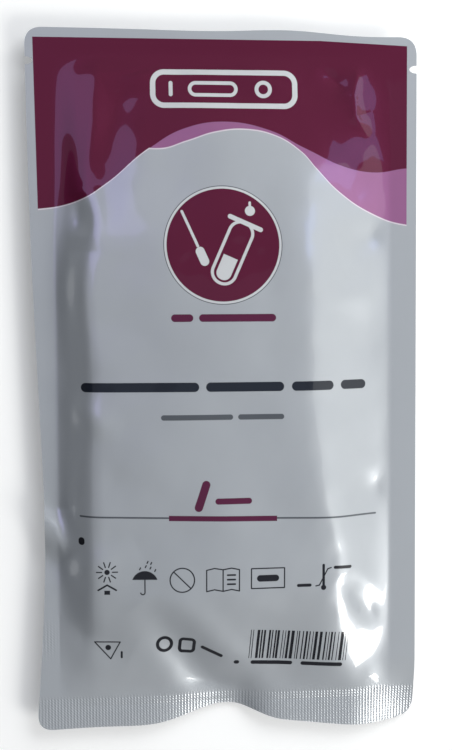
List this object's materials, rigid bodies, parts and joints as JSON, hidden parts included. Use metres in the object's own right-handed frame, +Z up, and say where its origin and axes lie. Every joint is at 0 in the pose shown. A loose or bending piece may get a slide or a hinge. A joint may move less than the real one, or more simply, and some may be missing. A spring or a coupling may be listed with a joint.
{
  "type": "sealed foil pouch",
  "caption": "Sealed laminated foil pouch holding a small test kit: filled belly, flat seals all round, knurled foot seal, rounded corners and tear notches near the head.",
  "frame": {"origin": "on the table under the middle of the pouch's outline", "axes": "+X across the pouch towards its right edge as its front is read, +Y along it towards the printed head, +Z up out of the front sheet"},
  "size_m": [0.1106, 0.1999, 0.0155],
  "materials": {
    "printed_film": "glossy printed film laminated on foil"
  },
  "bodies": {
    "root": {"foil_pouch": "printed_film"}
  },
  "joints": []
}
